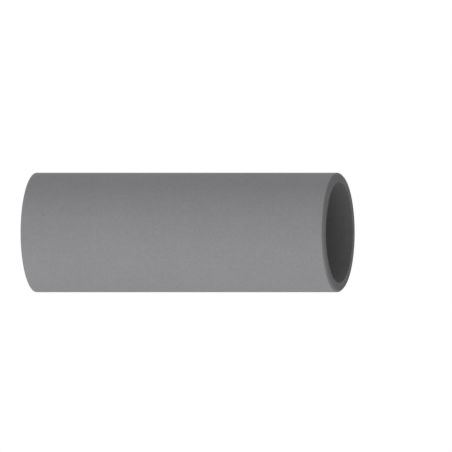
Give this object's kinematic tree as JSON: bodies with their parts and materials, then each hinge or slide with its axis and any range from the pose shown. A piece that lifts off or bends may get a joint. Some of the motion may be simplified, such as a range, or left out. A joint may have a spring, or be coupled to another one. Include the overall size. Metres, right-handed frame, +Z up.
{
  "type": "insulated ventilation duct",
  "caption": "Straight round length of rigid foam ventilation duct with a thick insulating wall, square cut at one end and chamfered at the other.",
  "frame": {"origin": "on the surface that the duct lies on, below the middle of its length", "axes": "+X along the duct to its chamfered end, +Z up; the duct's axis is one outside radius above the origin"},
  "size_m": [0.5, 0.1899, 0.19],
  "materials": {
    "foam": "matt grey moulded closed-cell foam"
  },
  "bodies": {
    "root": {"foam_duct": "foam"}
  },
  "joints": []
}
